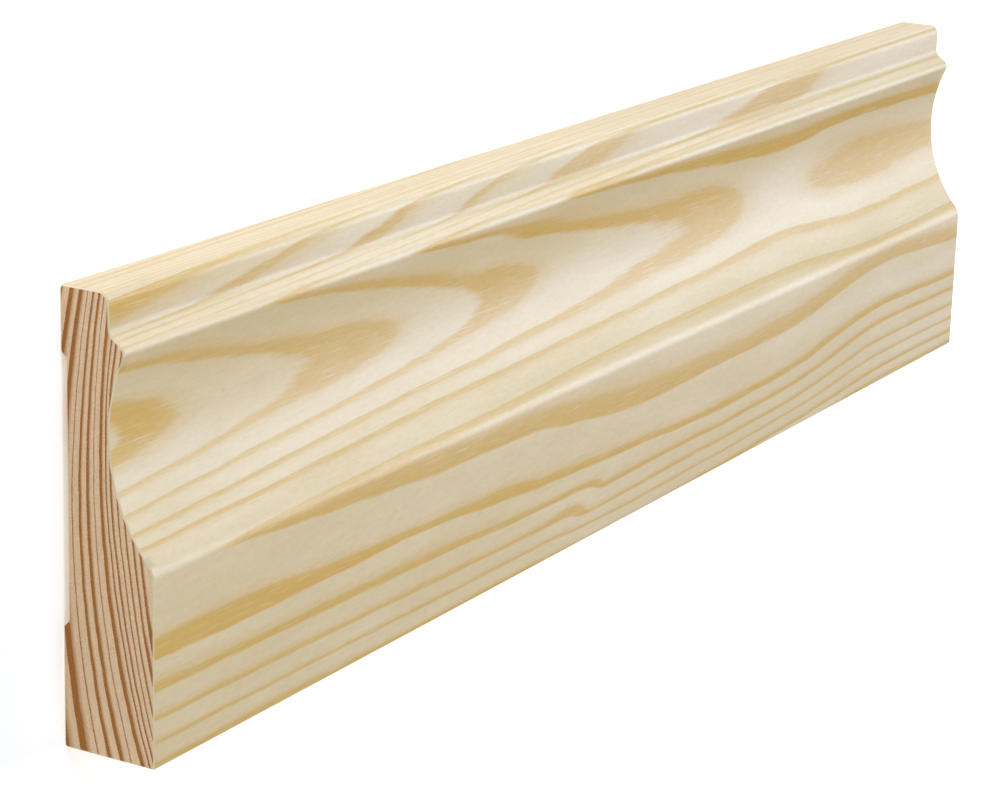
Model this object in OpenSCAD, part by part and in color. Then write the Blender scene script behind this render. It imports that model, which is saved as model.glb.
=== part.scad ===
// A sawn length of moulded softwood skirting board, planed from one piece.
// It lies on its back with the moulded face up: the length runs along X, the edge
// that stands on the floor when fitted faces -Y, and the top edge faces +Y.

/* [Board] */
// Length between the two sawn ends
board_length = 400; // [200:10:900]
// Height on the wall, from the floor edge to the top edge
board_height = 95; // [80:1:170]
// Thickness from the wall to the flat lower face
board_thickness = 22; // [20:0.5:25]

/* [Top fillet] */
// Thickness of the top edge, from the wall to the face of the fillet
fillet_thickness = 11.6; // [10:0.1:12.5]
// Radius that eases the front corner of the top edge
fillet_radius = 2.3; // [0.5:0.1:3.5]

/* [Bead] */
// How far the tip of the bead stands out from the wall
bead_reach = 15.4; // [14.5:0.1:16.5]
// Distance from the top edge down to the centre of the bead's rounded tip
bead_drop = 11.4; // [10:0.1:13]
// Radius of the bead's rounded tip
bead_radius = 1.2; // [0.5:0.1:1.8]
// Angle that the bead's upper face falls away from the level
bead_slope = 35; // [30:1:50]
// Radius of the cove between the fillet and the bead's upper face
cove_radius = 2.4; // [0.5:0.1:3]

/* [Hollow] */
// Radius of the long hollow between the bead and the nose
hollow_radius = 37; // [32:0.1:50]
// Distance from the top edge down to the centre of the nose's rounded corner
nose_drop = 55.2; // [48:0.1:60]
// Radius of the nose, where the hollow meets the flat lower face
nose_radius = 2.5; // [0.5:0.1:5]

/* [Back relief] */
// Depth of the relief planed into the back, so that the board bears on two pads
relief_depth = 1.3; // [0.5:0.1:2.5]
// Height of the pad along the floor edge
lower_pad_height = 25.5; // [15:0.5:32]
// Height of the pad along the top edge
upper_pad_height = 13; // [8:0.5:18]
// Angle of the bevels between the pads and the relief
relief_bevel = 45; // [30:1:60]

/* [Hidden] */
$fn = 96;

// How far a cut runs past the surface that it opens
clear_past = 2;
// How far a rounding circle overlaps the faces that it rounds, so that it crosses them cleanly
overlap = 0.001;

// Centre of the bead's rounded tip, and of the nose's, as [from the wall, from the floor edge]
bead_centre = [bead_reach - bead_radius, board_height - bead_drop];
nose_centre = [board_thickness - nose_radius, board_height - nose_drop];

// The hollow touches both rounded tips from outside, so its centre lies where two circles
// round them cross, on the room's side
bead_distance = hollow_radius + bead_radius;
nose_distance = hollow_radius + nose_radius;
tip_span = norm(bead_centre - nose_centre);
along_span = (tip_span ^ 2 + nose_distance ^ 2 - bead_distance ^ 2) / (2 * tip_span);
off_span = sqrt(nose_distance ^ 2 - along_span ^ 2);
span_way = (bead_centre - nose_centre) / tip_span;
hollow_centre = nose_centre + along_span * span_way + off_span * [span_way.y, -span_way.x];

// The bead's upper face touches its rounded tip, and meets the fillet's face at a corner
// that the cove then rounds
slope_touch = bead_centre + bead_radius * [sin(bead_slope), cos(bead_slope)];
fillet_foot = slope_touch.y + (slope_touch.x - fillet_thickness) * tan(bead_slope);
cove_centre = [
    fillet_thickness + cove_radius,
    fillet_foot + cove_radius * tan(45 - bead_slope / 2)
];

// Where the cut along the bead's upper face runs out, in the air above the hollow
cut_end = bead_reach + bead_radius;
bead_corner = [cut_end, slope_touch.y - (cut_end - slope_touch.x) * tan(bead_slope)];

// Run of a bevel between a pad and the relief
bevel_run = relief_depth / tan(relief_bevel);

function heading(from, to) = atan2(to.y - from.y, to.x - from.x);

// What is taken off a corner to leave it round, between the two directions in which the
// round meets its neighbours
module corner_waste(centre, radius, from_angle, to_angle) {
    reach = 3 * radius;
    mid_angle = (from_angle + to_angle) / 2;
    translate(centre) difference() {
        polygon([
            [0, 0],
            reach * [cos(from_angle), sin(from_angle)],
            reach * [cos(mid_angle), sin(mid_angle)],
            reach * [cos(to_angle), sin(to_angle)]
        ]);
        circle(radius + overlap);
    }
}

// Waste in front of the fillet and above the bead
module upper_waste() {
    difference() {
        polygon([
            [fillet_thickness, board_height + clear_past],
            [fillet_thickness, fillet_foot],
            bead_corner,
            [board_thickness + clear_past, bead_corner.y],
            [board_thickness + clear_past, board_height + clear_past]
        ]);
        corner_waste(cove_centre, cove_radius, -90 - bead_slope, -180);
    }
}

// Waste of the shallow relief between the two pads
module back_relief() {
    low = lower_pad_height;
    high = board_height - upper_pad_height;
    spread = clear_past / tan(relief_bevel);
    polygon([
        [-clear_past, low - spread],
        [relief_depth, low + bevel_run],
        [relief_depth, high - bevel_run],
        [-clear_past, high + spread]
    ]);
}

// Section of the board, with the wall side at 0 across and the floor edge at 0 up
module section() {
    fillet_centre = [fillet_thickness - fillet_radius, board_height - fillet_radius];
    difference() {
        square([board_thickness, board_height]);
        upper_waste();
        translate(hollow_centre) circle(hollow_radius, $fn = 360);
        corner_waste(fillet_centre, fillet_radius, 0, 90);
        corner_waste(bead_centre, bead_radius, heading(bead_centre, hollow_centre), 90 - bead_slope);
        corner_waste(nose_centre, nose_radius, 0, heading(nose_centre, hollow_centre));
        back_relief();
    }
}

module skirting_board() {
    color("burlywood")
        translate([0, -board_height / 2, 0])
        rotate([0, -90, 0])
        linear_extrude(height = board_length, center = true)
        section();
}

skirting_board();
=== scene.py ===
import math

import bpy
import mathutils
import numpy as np
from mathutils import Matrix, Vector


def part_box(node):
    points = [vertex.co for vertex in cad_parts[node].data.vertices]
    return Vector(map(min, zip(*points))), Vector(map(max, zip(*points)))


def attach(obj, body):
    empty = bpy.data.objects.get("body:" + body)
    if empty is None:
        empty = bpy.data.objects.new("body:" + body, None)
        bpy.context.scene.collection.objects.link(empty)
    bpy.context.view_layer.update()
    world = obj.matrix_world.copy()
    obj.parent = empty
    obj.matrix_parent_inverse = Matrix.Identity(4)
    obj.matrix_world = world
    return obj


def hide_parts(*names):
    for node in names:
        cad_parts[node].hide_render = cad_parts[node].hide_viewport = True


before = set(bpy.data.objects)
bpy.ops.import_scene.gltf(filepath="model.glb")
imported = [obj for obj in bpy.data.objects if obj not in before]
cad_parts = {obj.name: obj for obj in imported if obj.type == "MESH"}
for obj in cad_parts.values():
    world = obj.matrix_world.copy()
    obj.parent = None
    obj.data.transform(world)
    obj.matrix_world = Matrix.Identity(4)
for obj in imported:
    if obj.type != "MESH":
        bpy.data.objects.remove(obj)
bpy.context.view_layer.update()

# Skirting board: one straight length of pale pine, planed on all its faces, moulded along the
# front by shaped cutters and sawn square at both ends. It lies on the two pads of its back
# with the moulded face up. Sizes are millimetres, across from the wall and up from the floor.
MM = 0.001
board_low, board_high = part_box("skirting_board")
board_length = (board_high.x - board_low.x) / MM
board_height = (board_high.y - board_low.y) / MM
board_thickness = (board_high.z - board_low.z) / MM

# Moulding, with heights given as drops from the top edge. The bead's tip and the nose are
# sanded a little rounder than the cutters leave them.
fillet_thickness = 11.6
fillet_radius = 2.3
bead_reach = 15.2
bead_drop = 11.7
bead_radius = 2.0
bead_slope = math.radians(35)
cove_radius = 2.4
hollow_radius = 37.0
nose_drop = 55.8
nose_radius = 4.0

# Shallow relief of the back, between the two pads
relief_depth = 1.3
lower_pad_height = 25.5
upper_pad_height = 13.0

# The long arrises are rounded by sanding, and the sawn ones are broken a little less
arris_round = 0.35
sawn_arris = 0.25

# Spacing of the mesh round the section and along the board, and its cells through the thickness
face_step = 0.8
length_step = 2.4
columns = 20

# Number of straight parts in each round of the section
arris_parts = 4
nose_parts = 6
hollow_parts = 56
bead_parts = 8
cove_parts = 6
fillet_parts = 10

bead_centre = np.array([bead_reach - bead_radius, board_height - bead_drop])
nose_centre = np.array([board_thickness - nose_radius, board_height - nose_drop])


def heading(start, end):
    """Direction from one point of the section to another."""
    return math.atan2(end[1] - start[1], end[0] - start[0])


def arc(centre, radius, start, end, parts):
    """Points on a round of the section, from one direction to the other."""
    turns = np.linspace(start, end, parts + 1)
    return [centre + radius * np.array([math.cos(a), math.sin(a)]) for a in turns]


# The hollow touches the rounded bead and the rounded nose from outside, so its centre lies where
# two circles round them cross
bead_distance = hollow_radius + bead_radius
nose_distance = hollow_radius + nose_radius
tip_span = np.linalg.norm(bead_centre - nose_centre)
along_span = (tip_span ** 2 + nose_distance ** 2 - bead_distance ** 2) / (2 * tip_span)
off_span = math.sqrt(nose_distance ** 2 - along_span ** 2)
span_way = (bead_centre - nose_centre) / tip_span
across_span = np.array([span_way[1], -span_way[0]])
hollow_centre = nose_centre + along_span * span_way + off_span * across_span

# The bead's upper face meets the fillet at a corner that the cove rounds
slope_touch = bead_centre + bead_radius * np.array([math.sin(bead_slope), math.cos(bead_slope)])
fillet_foot = slope_touch[1] + (slope_touch[0] - fillet_thickness) * math.tan(bead_slope)
cove_rise = cove_radius * math.tan(math.radians(45) - bead_slope / 2)
cove_centre = np.array([fillet_thickness + cove_radius, fillet_foot + cove_rise])


def moulded_face():
    """Front of the section, from the floor edge up over the nose, hollow and bead to the top."""
    low_corner = np.array([board_thickness - arris_round, arris_round])
    top_corner = np.array([fillet_thickness - fillet_radius, board_height - fillet_radius])
    nose_end = heading(nose_centre, hollow_centre)
    hollow_start = heading(hollow_centre, nose_centre) % math.tau
    hollow_end = heading(hollow_centre, bead_centre) % math.tau
    bead_start = heading(bead_centre, hollow_centre)
    bead_end = math.pi / 2 - bead_slope
    cove_start = 1.5 * math.pi - bead_slope
    line = arc(low_corner, arris_round, -math.pi / 2, 0, arris_parts)
    line += arc(nose_centre, nose_radius, 0, nose_end, nose_parts)
    line += arc(hollow_centre, hollow_radius, hollow_start, hollow_end, hollow_parts)
    line += arc(bead_centre, bead_radius, bead_start, bead_end, bead_parts)
    line += arc(cove_centre, cove_radius, cove_start, math.pi, cove_parts)
    line += arc(top_corner, fillet_radius, 0, math.pi / 2, fillet_parts)
    return np.array(line)


def spread(line, step, spare=0.3):
    """The same line with more points, so that no part is longer than a step and a spare share."""
    points = [line[0]]
    for start, end in zip(line[:-1], line[1:]):
        parts = max(1, math.ceil(np.linalg.norm(end - start) / step - spare))
        points += [start + (end - start) * (i + 1) / parts for i in range(parts)]
    return np.array(points)


# Rows of the mesh lie at the same heights on the face and on the back
face = spread(moulded_face(), face_step)
back_corners = np.array([
    [arris_round, 0],
    [0, arris_round],
    [0, lower_pad_height],
    [relief_depth, lower_pad_height + relief_depth],
    [relief_depth, board_height - upper_pad_height - relief_depth],
    [0, board_height - upper_pad_height],
    [0, board_height - arris_round],
    [arris_round, board_height],
])
row_heights = np.unique(np.round(np.concatenate([face[:, 1], back_corners[:, 1]]), 3))
front_depth = np.interp(row_heights, face[:, 1], face[:, 0])
back_depth = np.interp(row_heights, back_corners[:, 1], back_corners[:, 0])
rows = len(row_heights)

# The section as a grid, whose rim is the outline of the board
shares = np.linspace(0, 1, columns + 1)
wood_depth = front_depth - back_depth
grid_depth = back_depth[:, None] + wood_depth[:, None] * shares
grid_height = np.repeat(row_heights[:, None], columns + 1, axis=1)
rim = [(row, columns) for row in range(rows)]
rim += [(rows - 1, column) for column in range(columns - 1, -1, -1)]
rim += [(row, 0) for row in range(rows - 2, -1, -1)]
rim += [(0, column) for column in range(1, columns)]
rim_row = np.array([row for row, _ in rim])
rim_column = np.array([column for _, column in rim])

# At each sawn end the section is a little smaller, which breaks the sawn arris
shrunk_depth = (back_depth + sawn_arris)[:, None] + (wood_depth - 2 * sawn_arris)[:, None] * shares
shrunk_height = sawn_arris + grid_height * (board_height - 2 * sawn_arris) / board_height

# The sides are the rim of the section, repeated at stations along the board
half_length = board_length / 2
inner_half = half_length - sawn_arris
spans = math.ceil(2 * inner_half / length_step)
stations = np.linspace(-inner_half, inner_half, spans + 1)
station_x = np.concatenate([[-half_length], stations, [half_length]])

points = []
for number, x in enumerate(station_x):
    at_end = number in (0, len(station_x) - 1)
    depth = (shrunk_depth if at_end else grid_depth)[rim_row, rim_column]
    height = (shrunk_height if at_end else grid_height)[rim_row, rim_column]
    points.append(np.column_stack([np.full(len(rim), x), height, depth]))
rim_count = len(rim)
faces = []
for number in range(len(station_x) - 1):
    for k in range(rim_count):
        a = number * rim_count + k
        b = number * rim_count + (k + 1) % rim_count
        faces.append((a, b, b + rim_count, a + rim_count))
side_faces = len(faces)

# Both sawn ends are closed with the grid, which shares its rim with the sides
point_count = len(station_x) * rim_count
for x, first in ((-half_length, 0), (half_length, (len(station_x) - 1) * rim_count)):
    index = np.full((rows, columns + 1), -1)
    index[rim_row, rim_column] = first + np.arange(rim_count)
    inner = np.argwhere(index < 0)
    index[inner[:, 0], inner[:, 1]] = point_count + np.arange(len(inner))
    point_count += len(inner)
    inner_depth = shrunk_depth[inner[:, 0], inner[:, 1]]
    inner_height = shrunk_height[inner[:, 0], inner[:, 1]]
    points.append(np.column_stack([np.full(len(inner), x), inner_height, inner_depth]))
    for row in range(rows - 1):
        for column in range(columns):
            quad = [index[row, column], index[row, column + 1]]
            quad += [index[row + 1, column + 1], index[row + 1, column]]
            faces.append(tuple(int(i) for i in (quad[::-1] if x < 0 else quad)))
points = np.concatenate(points)
along, up, out = points.T

# Growth rings: the tree's centre lay in front of the face, so the rings cross the sawn end in
# bows, with their waist a little above the middle. Depths are measured from one strong ring.
# A larger bow value makes the rings flatter. Behind the strong ring they spread towards the
# floor edge, and ring_spread is the height over which they do so.
ring_waist_height = 60.0
ring_waist_depth = 9.2
bow_below = 370.0
bow_above = 490.0
ring_spread = 125.0

# How far the layers have sunk towards the back at these places along the board. Each row is
# for one height above the floor edge. All are millimetres.
sink_places = [0, 50, 100, 150, 200, 250, 295, 335, 400]
layer_sink = {
    1: [0.0, 0.0, 0.1, 0.2, 0.5, 0.1, -0.4, -1.2, -1.3],
    15: [0.0, 0.1, 0.3, 0.7, 1.0, 1.4, 1.0, -0.3, -0.3],
    22: [0.0, 0.1, 0.1, 0.8, 1.5, 1.7, 1.3, 0.1, 0.3],
    31: [0.1, 0.2, 0.8, 1.1, 2.2, 2.0, 1.8, 0.6, 1.1],
    40: [0.2, 0.7, 1.2, 1.7, 2.8, 2.9, 2.7, 1.5, 1.9],
    50: [0.6, 1.5, 2.3, 2.8, 3.2, 3.6, 3.8, 3.3, 3.4],
    60: [0.8, 1.8, 2.6, 3.7, 4.5, 5.0, 5.6, 5.1, 5.3],
    68: [1.0, 2.3, 3.1, 4.2, 5.2, 5.7, 6.4, 5.9, 6.1],
    76: [1.2, 2.2, 3.1, 4.4, 5.3, 5.8, 6.3, 5.9, 6.2],
    83: [0.6, 1.2, 2.6, 3.7, 4.6, 5.4, 6.2, 6.1, 6.4],
    88: [0.5, 1.9, 3.1, 5.0, 6.2, 7.0, 7.5, 7.9, 7.9],
    93: [0.0, 1.4, 2.9, 4.6, 6.2, 6.8, 7.6, 8.1, 8.4],
}

# Behind the strong ring the layers keep their place at the near end. In front of it they sink
# freely, and this is the depth over which the one turns into the other.
front_blend = 2.0

# A small kink in the layers low on the flat face: where it starts along the board, how far this
# shifts with each millimetre of height, how it rises, holds and fades along the board, and
# between which heights it lies, with soft edges
kink_place = 157.0
kink_lean = 1.8
kink_rise = 2.5
kink_hold = 5.0
kink_fade = 28.0
kink_depth = 0.7
kink_heights = (3.0, 17.0)
kink_edge = 4.0

# Places where the late wood is thicker: along the board, height, their reach both ways and how
# much. They are full close to the face and gone at some depth behind it.
full_behind = 0.4
gone_behind = 2.4
thick_spots = [
    (18, 26, 45, 6, 0.6),
    (137, 22, 12, 5, 0.3),
    (166, 9, 8, 4, 0.4),
    (195, 32, 45, 8, 0.4),
    (300, 32, 25, 8, 0.3),
    (5, 68, 25, 9, 0.2),
    (90, 67, 25, 8, 0.4),
    (155, 67, 20, 9, 0.35),
    (240, 60, 40, 4, 0.3),
    (255, 65, 25, 9, 0.4),
    (362, 64, 55, 5, 0.5),
    (310, 79, 100, 5, 0.35),
    (12, 92, 30, 5, 0.3),
    (190, 91, 25, 5, 0.4),
    (285, 91, 35, 5, 0.5),
]


def smoothed(stops, values, at):
    """Smooth curve through values at stops; values may have a column for each spot in at."""
    stops = np.asarray(stops, float)
    values = np.asarray(values, float)
    at = np.clip(at, stops[0], stops[-1])
    slopes = np.gradient(values, stops, axis=0)
    i = np.clip(np.searchsorted(stops, at, side="right") - 1, 0, len(stops) - 2)
    spot = (np.arange(len(at)),) if values.ndim > 1 else ()
    low = (i, *spot)
    high = (i + 1, *spot)
    gap = stops[i + 1] - stops[i]
    u = (at - stops[i]) / gap
    from_low = (1 + 2 * u) * (1 - u) ** 2 * values[low] + u * (1 - u) ** 2 * gap * slopes[low]
    from_high = u * u * (3 - 2 * u) * values[high] - u * u * (1 - u) * gap * slopes[high]
    return from_low + from_high


def sink(x, height):
    """How far the layers lie behind their place at the near end."""
    rows_at_x = np.stack([smoothed(sink_places, row, x) for row in layer_sink.values()])
    return smoothed(list(layer_sink), rows_at_x, height)


def kink(x, height):
    """How much further the layers sink at the kink."""
    low, high = kink_heights
    past = x - kink_place - kink_lean * height
    rise = (1 + np.tanh(past / (2 * kink_rise))) / 2
    fade = np.exp(-np.clip(past - kink_hold, 0, None) / kink_fade)
    below_top = np.clip((high - height) / kink_edge, 0, 1)
    above_foot = np.clip((height - low) / kink_edge, 0, 1)
    return kink_depth * rise * fade * below_top * above_foot


def ring_depth(x, height, depth):
    """Depth of a spot in the wood's own layers, in front of the strong ring or behind it."""
    bow_size = np.where(height < ring_waist_height, bow_below, bow_above)
    level = depth - ring_waist_depth - (height - ring_waist_height) ** 2 / bow_size
    in_front = np.clip(level / front_blend, 0, 1)
    near_end_sink = sink(np.zeros_like(x), height)
    level = level + sink(x, height) - near_end_sink * (1 - in_front) + kink(x, height)
    behind = level / np.exp((ring_waist_height - height) / ring_spread)
    return np.where(level < 0, behind, level)


def late_extra(x, height, depth):
    """How much thicker the late wood is at a spot; the thick places lie close to the face."""
    extra = np.zeros_like(x)
    for place, up_face, length, reach, most in thick_spots:
        from_middle = ((x - place) / length) ** 2 + ((height - up_face) / reach) ** 2
        extra = np.maximum(extra, most * np.exp(-from_middle))
    behind_face = np.interp(height, face[:, 1], face[:, 0]) - depth
    return extra * np.clip((gone_behind - behind_face) / (gone_behind - full_behind), 0, 1)


# Each point of the mesh carries its depth in the wood's layers and how much thicker the late
# wood is there, both worked out along the board from the near end
crease_angle = math.radians(35)
board_mesh = bpy.data.meshes.new("skirting_board_wood")
placed = np.column_stack([along, up - board_height / 2, out]) * MM
board_mesh.from_pydata(placed.tolist(), [], faces)
for name, field in (("ring_depth", ring_depth), ("late_extra", late_extra)):
    values = field(along + half_length, up, out)
    board_mesh.attributes.new(name, "FLOAT", "POINT")
    board_mesh.attributes[name].data.foreach_set("value", values.astype(np.float32))
board_mesh.validate()
board_mesh.shade_smooth()
board_mesh.set_sharp_from_angle(angle=crease_angle)
board = bpy.data.objects.new("skirting_board_pine", board_mesh)
bpy.context.collection.objects.link(board)
sawn = np.zeros(len(board_mesh.polygons), int)
sawn[side_faces:] = 1
board_mesh.polygons.foreach_set("material_index", sawn)

# Dark late wood of each ring, from the back of the board to its face: the depth of its sharp
# edge, how wide it is and how dark
growth_rings = [
    (-15.0, 1.1, 0.8),
    (-12.1, 2.2, 1.0),
    (-9.2, 2.0, 1.0),
    (-6.6, 0.4, 0.6),
    (-5.0, 1.0, 0.85),
    (-3.2, 1.1, 0.95),
    (-1.5, 0.4, 0.5),
    (0.0, 1.5, 1.0),
    (1.95, 0.7, 0.75),
    (3.2, 0.75, 0.85),
    (4.68, 0.55, 0.7),
    (6.05, 0.7, 0.75),
    (7.6, 0.8, 0.85),
    (9.05, 1.0, 0.9),
    (12.0, 1.9, 0.8),
    (15.2, 1.1, 0.9),
]

# From the sharp edge towards the face come a dark core and then a fading tail, given as shares
# of the width and of the darkness
ring_blur = 0.06
core_share = 0.38
core_fade = 0.85
tail_share = 0.55
tail_dark = 0.35

# Each ring takes five stops, and one colour ramp has room for 32
ramp_rings = 6
ramp_margin = 1.0


class Finish:
    """A material, with short ways to add and join its nodes."""

    def __init__(self, name):
        self.material = bpy.data.materials.new(name)
        self.material.use_nodes = True
        self.nodes = self.material.node_tree.nodes
        self.links = self.material.node_tree.links
        self.shader = self.nodes["Principled BSDF"]

    def add(self, kind, **inputs):
        """Adds a node; an input is a value or the output of another node."""
        node = self.nodes.new(kind)
        for name, value in inputs.items():
            self.set(node, name, value)
        return node

    def set(self, node, name, value):
        """Sets an input, found by its name or by its number as in in0."""
        key = int(name[2:]) if name.startswith("in") and name[2:].isdigit() else name.replace("_", " ")
        if isinstance(value, bpy.types.NodeSocket):
            self.links.new(value, node.inputs[key])
        else:
            node.inputs[key].default_value = value

    def math(self, operation, first, second=0.0):
        node = self.add("ShaderNodeMath", in0=first, in1=second)
        node.operation = operation
        return node.outputs[0]

    def spread_over(self, value, low, high, to_low=0.0, to_high=1.0):
        node = self.add("ShaderNodeMapRange", in0=value, in1=low, in2=high, in3=to_low, in4=to_high)
        return node.outputs[0]

    def around_zero(self, value, reach):
        """A random pattern moved to lie on both sides of zero, about this far."""
        return self.spread_over(value, 0.25, 0.75, -reach, reach)

    def blend(self, share, first, second, way="MIX"):
        node = self.nodes.new("ShaderNodeMix")
        node.data_type = "RGBA"
        node.blend_type = way
        self.set(node, "in0", share)
        self.set(node, "in6", first)
        self.set(node, "in7", second)
        return node.outputs[2]

    def shaded(self, colour, share):
        """The colour made darker or lighter by a share that may change from spot to spot."""
        tint = self.add("ShaderNodeCombineColor", in0=share, in1=share, in2=share)
        return self.blend(1.0, colour, tint.outputs[0], "MULTIPLY")

    def place(self, size, shift=0.0):
        """Places on the board, counted in spots of this length, height and depth in millimetres."""
        if "Texture Coordinate" not in self.nodes:
            self.nodes.new("ShaderNodeTexCoord")
        node = self.nodes.new("ShaderNodeMapping")
        self.set(node, "in0", self.nodes["Texture Coordinate"].outputs["Object"])
        node.inputs["Location"].default_value = (shift, shift, shift)
        node.inputs["Scale"].default_value = [1 / (s * MM) for s in size]
        return node.outputs[0]

    def grain(self, size, detail=2.0, rough=0.5, shift=0.0):
        """Soft random pattern with spots of about this size."""
        spots = self.place(size, shift)
        noise = self.add("ShaderNodeTexNoise", Vector=spots, Scale=1.0, Detail=detail, Roughness=rough)
        return noise.outputs[0]

    def flecks(self, size, share, shift=0.0):
        """Single small marks of this size on some of the spots: 1 on a mark, 0 between marks."""
        spots = self.place([3 * s for s in size], shift)
        cells = self.add("ShaderNodeTexVoronoi", Vector=spots, Scale=1.0)
        near = self.spread_over(cells.outputs["Distance"], 0.10, 0.22, 1.0, 0.0)
        chosen = self.add("ShaderNodeSeparateColor", in0=cells.outputs["Color"])
        return self.math("MULTIPLY", near, self.math("LESS_THAN", chosen.outputs[0], share))

    def ramp(self, value, stops):
        node = self.nodes.new("ShaderNodeValToRGB")
        self.set(node, "in0", value)
        elements = node.color_ramp.elements
        while len(elements) < len(stops):
            elements.new(0.5)
        for element, (position, grey) in zip(elements, stops):
            element.position = position
            element.color = (grey, grey, grey, 1)
        return node.outputs[0]

    def carried(self, name):
        """A value that the mesh carries at its points."""
        node = self.nodes.new("ShaderNodeAttribute")
        node.attribute_name = name
        return node.outputs["Fac"]

    def ring_stripes(self, level, rings):
        """Late wood of some rings: a sharp edge, a dark core, then a fade."""
        low = rings[0][0] - ramp_margin
        high = rings[-1][0] + rings[-1][1] + ramp_margin
        stops = []
        for edge, width, dark in rings:
            stops += [(edge - ring_blur, 0.0), (edge + ring_blur, dark)]
            stops.append((edge + core_share * width, core_fade * dark))
            stops += [(edge + tail_share * width, tail_dark * dark), (edge + width, 0.0)]
        stops = [((at - low) / (high - low), dark) for at, dark in stops]
        return self.ramp(self.spread_over(level, low, high), stops)

    def late_wood(self, *ripples):
        """Share of dark late wood, from 0 to 1; ripples move the rings a little. Where the late
        wood is thicker, the same stripes are laid again further in, so that they widen."""
        level = self.carried("ring_depth")
        thicker = self.carried("late_extra")
        for ripple in ripples:
            level = self.math("ADD", level, ripple)
        groups = [growth_rings[i:i + ramp_rings] for i in range(0, len(growth_rings), ramp_rings)]
        late = 0.0
        for share in (0.0, 0.5, 1.0):
            moved = self.math("SUBTRACT", level, self.math("MULTIPLY", thicker, share))
            for group in groups:
                late = self.math("MAXIMUM", late, self.ring_stripes(moved, group))
        return late


def paint(red, green, blue):
    """A colour given as it looks on a screen, from 0 to 255, turned into light."""
    shares = [c / 255 for c in (red, green, blue)]
    return (*[((c + 0.055) / 1.055) ** 2.4 if c > 0.04 else c / 12.92 for c in shares], 1.0)


# Planed faces: cream early wood and amber late wood. The late wood is fainter on faces that turn
# towards the top edge: on the edge itself the rings are cut more squarely, and on the slopes that
# turn up towards the light the fading is painted sheen. A pattern is given by the length, height
# and depth of its spots in millimetres.
early_cream = paint(221, 200, 166)
early_straw = paint(215, 192, 152)
late_amber = paint(206, 164, 80)
# Pale colour of the sawn arrises, a painted highlight
arris_highlight_cream = paint(234, 214, 176)
resin_brown = paint(176, 150, 110)

# How far the rings wander, in millimetres, how much late wood is left on the top edge and, as
# painted sheen, on the slopes that turn towards it, and along the resin canals, and how much the
# shade varies
slow_wander = 0.08
fine_wander = 0.04
late_on_edge_and_lit_slopes = 0.6
late_on_canals = 0.3
fibre_shade = 0.06
mottle_shade = 0.035
speck_share = 0.005

# Late wood takes a smoother cut than early wood, but its sheen is weaker. The relief that the
# cutters leave along the fibres is in millimetres.
early_gloss = 0.5
late_gloss = 0.2
early_roughness = 0.42
late_roughness = 0.38
fibre_relief = 0.04
fibre_strength = 0.25

planed = Finish("planed_pine")
slow_ripple = planed.around_zero(planed.grain((26, 7, 5)), slow_wander)
fine_ripple = planed.around_zero(planed.grain((30, 0.6, 0.6), detail=3.0), fine_wander)
late = planed.late_wood(slow_ripple, fine_ripple)
normal = planed.nodes["Texture Coordinate"].outputs["Normal"]
facing = planed.add("ShaderNodeSeparateXYZ", in0=normal)
# Late wood fades where the normal turns towards the top edge: square-cut rings on the edge, painted
# sheen on the nose, lower hollow and bead slope that face the light
edge_grain_and_sheen_fade = planed.spread_over(facing.outputs[1], 0.2, 0.75, 1.0, late_on_edge_and_lit_slopes)
late = planed.math("MULTIPLY", late, edge_grain_and_sheen_fade)
canals = planed.grain((13, 0.22, 0.22), detail=1.0, shift=7.0)
beside_canals = planed.spread_over(canals, 0.62, 0.68, 1.0, late_on_canals)
late = planed.math("MULTIPLY", late, beside_canals)
clouds = planed.grain((45, 9, 9), detail=2.0, shift=3.0)
early = planed.blend(planed.spread_over(clouds, 0.3, 0.6), early_cream, early_straw)
wood = planed.blend(late, early, late_amber)
fibres = planed.grain((6, 0.16, 0.16), detail=3.0, rough=0.6)
mottle = planed.grain((2.2, 0.9, 0.9), detail=2.0, shift=5.0)
fibre_tone = planed.around_zero(fibres, fibre_shade)
mottle_tone = planed.around_zero(mottle, mottle_shade)
shade = planed.math("ADD", fibre_tone, mottle_tone)
wood = planed.shaded(wood, planed.math("ADD", 1.0, shade))
specks = planed.flecks((0.5, 0.25, 0.25), speck_share, shift=9.0)
wood = planed.blend(specks, wood, resin_brown)
# The bevels that break the sawn arrises are painted pale: a painted highlight along the edge of each end
sawn_arris_highlight = planed.math("ABSOLUTE", facing.outputs[0])
wood = planed.blend(planed.spread_over(sawn_arris_highlight, 0.3, 0.6), wood, arris_highlight_cream)
planed.set(planed.shader, "Base_Color", wood)
gloss = planed.spread_over(late, 0.0, 1.0, early_gloss, late_gloss)
planed.set(planed.shader, "Specular_IOR_Level", gloss)
roughness = planed.spread_over(late, 0.0, 1.0, early_roughness, late_roughness)
planed.set(planed.shader, "Roughness", roughness)
bump = planed.add("ShaderNodeBump", Strength=fibre_strength, Distance=fibre_relief * MM, Height=fibres)
planed.set(planed.shader, "Normal", bump.outputs[0])

# Sawn ends: the cut fibres are matt and pebbly, with small bright ones, and the late wood is
# much darker than on the faces. Its edges are torn a little by the saw.
end_early = paint(232, 199, 159)
end_amber = paint(198, 124, 36)
end_brown = paint(128, 76, 22)
end_spark = paint(236, 196, 120)
torn_wander = 0.07
drift_wander = 0.1
pore_shade = 0.2
patch_shade = 0.05
spark_share = 0.3
sawn_roughness = 0.8
pore_relief = 0.1
pore_strength = 0.6

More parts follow.
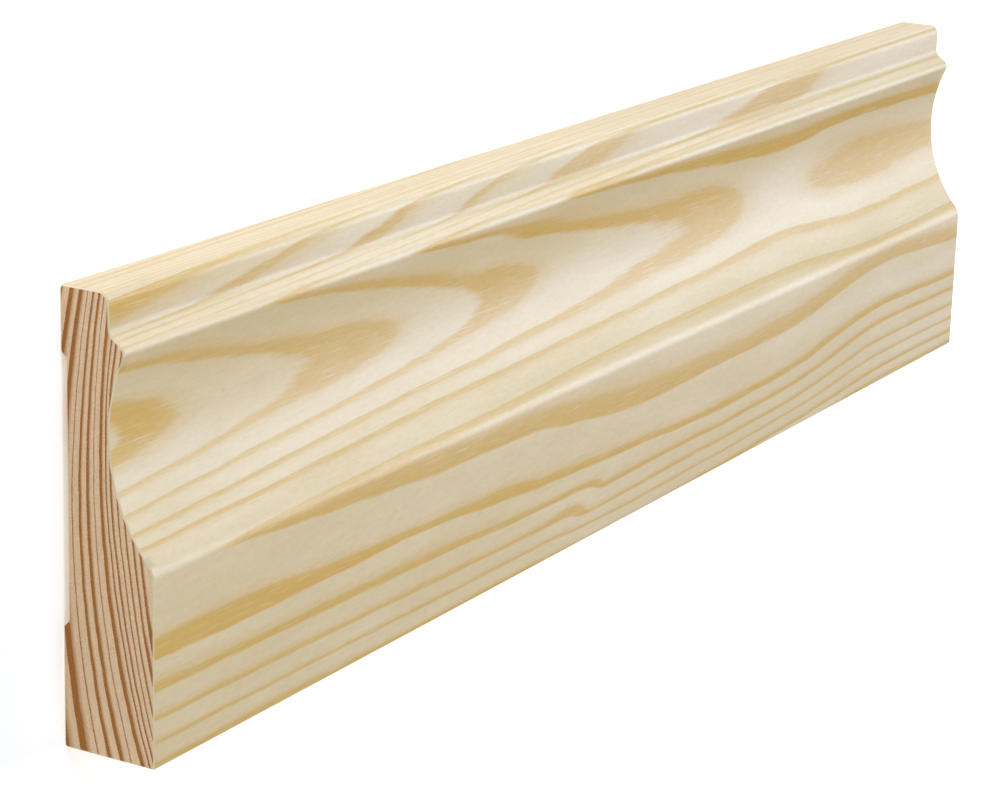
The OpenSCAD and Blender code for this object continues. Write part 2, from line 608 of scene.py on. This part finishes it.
sawn_end = Finish("sawn_end_grain")
torn_edge = sawn_end.around_zero(sawn_end.grain((0.5, 0.3, 0.3)), torn_wander)
drift = sawn_end.around_zero(sawn_end.grain((6, 7, 4)), drift_wander)
late = sawn_end.late_wood(torn_edge, drift)
band = sawn_end.spread_over(late, 0.05, 0.5)
pores = sawn_end.grain((0.34, 0.26, 0.26), rough=0.6)
patches = sawn_end.grain((8, 6, 1.2), shift=4.0)
late_tones = sawn_end.grain((0.5, 0.2, 0.2), detail=3.0, shift=6.0)
brown_share = sawn_end.spread_over(late_tones, 0.4, 0.6)
late_colour = sawn_end.blend(brown_share, end_amber, end_brown)
wood = sawn_end.blend(band, end_early, late_colour)
pore_tone = sawn_end.around_zero(pores, pore_shade)
patch_tone = sawn_end.around_zero(patches, patch_shade)
shade = sawn_end.math("ADD", pore_tone, patch_tone)
wood = sawn_end.shaded(wood, sawn_end.math("ADD", 1.0, shade))
sparks = sawn_end.math("MULTIPLY", sawn_end.flecks((0.3, 0.12, 0.12), spark_share), band)
wood = sawn_end.blend(sparks, wood, end_spark)
sawn_end.set(sawn_end.shader, "Base_Color", wood)
sawn_end.set(sawn_end.shader, "Roughness", sawn_roughness)
bump = sawn_end.add("ShaderNodeBump", Strength=pore_strength, Distance=pore_relief * MM, Height=pores)
sawn_end.set(sawn_end.shader, "Normal", bump.outputs[0])

board_mesh.materials.append(planed.material)
board_mesh.materials.append(sawn_end.material)
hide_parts("skirting_board")
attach(board, "root")

# Floor: a plain pale sheet that the board lies on, with sizes in metres from here on. It is
# matt and glows a little, so that it stays white but for the board's soft shadow.
floor_half = 4.0
floor_colour = paint(246, 246, 246)
floor_roughness = 0.9
floor_glow = 0.36
floor_mesh = bpy.data.meshes.new("pale_floor")
floor_corners = [(-floor_half, -floor_half, 0), (floor_half, -floor_half, 0)]
floor_corners += [(floor_half, floor_half, 0), (-floor_half, floor_half, 0)]
floor_mesh.from_pydata(floor_corners, [], [(0, 1, 2, 3)])
floor = bpy.data.objects.new("pale_floor", floor_mesh)
bpy.context.collection.objects.link(floor)
floor_finish = Finish("matt_floor")
floor_finish.set(floor_finish.shader, "Base_Color", floor_colour)
floor_finish.set(floor_finish.shader, "Roughness", floor_roughness)
floor_finish.set(floor_finish.shader, "Emission_Color", floor_colour)
floor_finish.set(floor_finish.shader, "Emission_Strength", floor_glow)
floor_mesh.materials.append(floor_finish.material)

# Studio light: a large soft panel in front of the moulded face, a small one close to the top
# edge, and three beyond the far end that put a pale sheen on the hollow and the bead.
panels = {
    "face_panel": {"place": (-0.3, -0.9, 0.8), "size": 0.9, "power": 9.0, "colour": (0.96, 1.0, 0.99)},
    "edge_panel": {"place": (-0.25, 0.45, 0.25), "size": 0.35, "power": 1.7, "colour": (0.88, 1.0, 1.2)},
    "far_panel": {"place": (1.6, 0.6, 1.1), "size": 1.4, "power": 15.0, "colour": (0.98, 1.0, 0.78)},
    "sheen_panel": {"place": (1.1, 0.07, 0.83), "size": 0.68, "power": 6.6, "colour": (0.86, 1.0, 1.36)},
    "bead_panel": {"place": (1.2, 0.9, 0.15), "size": 0.4, "power": 4.2, "colour": (0.95, 1.0, 1.03)},
}
board_middle = (0.0, 0.0, 0.0)
room_light = 0.1
room_colour = (1.0, 0.9, 0.8, 1.0)


def aim(thing, place, target, upright=(0.0, 0.0, 1.0)):
    """Puts a light or camera at a place, looking at a target, with its top towards upright."""
    look = np.subtract(target, place) / np.linalg.norm(np.subtract(target, place))
    right = np.cross(look, upright) / np.linalg.norm(np.cross(look, upright))
    top = np.cross(right, look)
    turned = [(right[i], top[i], -look[i], place[i]) for i in range(3)]
    thing.matrix_world = mathutils.Matrix(turned + [(0, 0, 0, 1)])


for name, panel in panels.items():
    light = bpy.data.lights.new(name, "AREA")
    light.size = panel["size"]
    light.energy = panel["power"]
    light.color = panel["colour"]
    lamp = bpy.data.objects.new(name, light)
    bpy.context.collection.objects.link(lamp)
    aim(lamp, panel["place"], board_middle)
room = bpy.data.worlds.new("pale_room")
room.use_nodes = True
room.node_tree.nodes["Background"].inputs["Color"].default_value = room_colour
room.node_tree.nodes["Background"].inputs["Strength"].default_value = room_light
bpy.context.scene.world = room
bpy.context.scene.view_settings.view_transform = "Standard"

# Camera: a long lens over the near end of the board and above its top edge, turned so that
# the board's height runs up the picture.
camera_place = (-0.666, 0.196, 0.368)
camera_target = (0.0, -0.0259, -0.0179)
camera_upright = (-0.0541, 1.0, 0.0)
lens_length = 114.1
sensor_width = 36.0
nearest_view = 0.01
camera_data = bpy.data.cameras.new("camera")
camera_data.lens = lens_length
camera_data.sensor_width = sensor_width
camera_data.clip_start = nearest_view
camera = bpy.data.objects.new("camera", camera_data)
bpy.context.collection.objects.link(camera)
aim(camera, camera_place, camera_target, camera_upright)
bpy.context.scene.camera = camera
